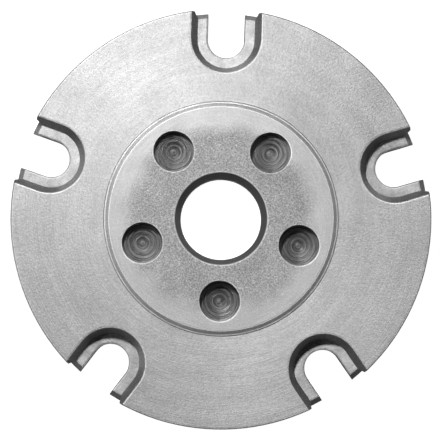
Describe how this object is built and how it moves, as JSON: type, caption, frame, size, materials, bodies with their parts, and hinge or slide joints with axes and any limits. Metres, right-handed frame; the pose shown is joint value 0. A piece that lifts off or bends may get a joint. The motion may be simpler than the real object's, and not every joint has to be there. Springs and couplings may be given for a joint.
{
  "type": "lathe chuck plate",
  "caption": "Round slotted lathe chuck plate with a raised hub, tapered central bore, blind drive sockets and stepped open clamp slots round its grooved rim.",
  "frame": {"origin": "on the bore axis at the back plate's back face", "axes": "+Z along the bore axis, out of the front; +Y through the middle of clamp slot 1; +X to the right seen from the front"},
  "size_m": [0.16, 0.1592, 0.02],
  "materials": {
    "front_plate_steel": "fine turned and ground",
    "back_plate_steel": "smooth ground",
    "hub_steel": "grainy machined",
    "screw_steel": "black oxide",
    "dowel_steel": "ground"
  },
  "bodies": {
    "root": {"front_plate": "front_plate_steel", "back_plate": "back_plate_steel", "hub": "hub_steel", "plate_screw_1": "screw_steel", "plate_screw_2": "screw_steel", "plate_screw_3": "screw_steel", "plate_screw_4": "screw_steel", "plate_screw_5": "screw_steel", "plate_screw_6": "screw_steel", "plate_screw_7": "screw_steel", "plate_screw_8": "screw_steel", "plate_screw_9": "screw_steel", "plate_screw_10": "screw_steel", "hub_screw_1": "screw_steel", "hub_screw_2": "screw_steel", "hub_screw_3": "screw_steel", "hub_screw_4": "screw_steel", "hub_screw_5": "screw_steel", "plate_dowel_1": "dowel_steel", "plate_dowel_2": "dowel_steel"}
  },
  "joints": []
}
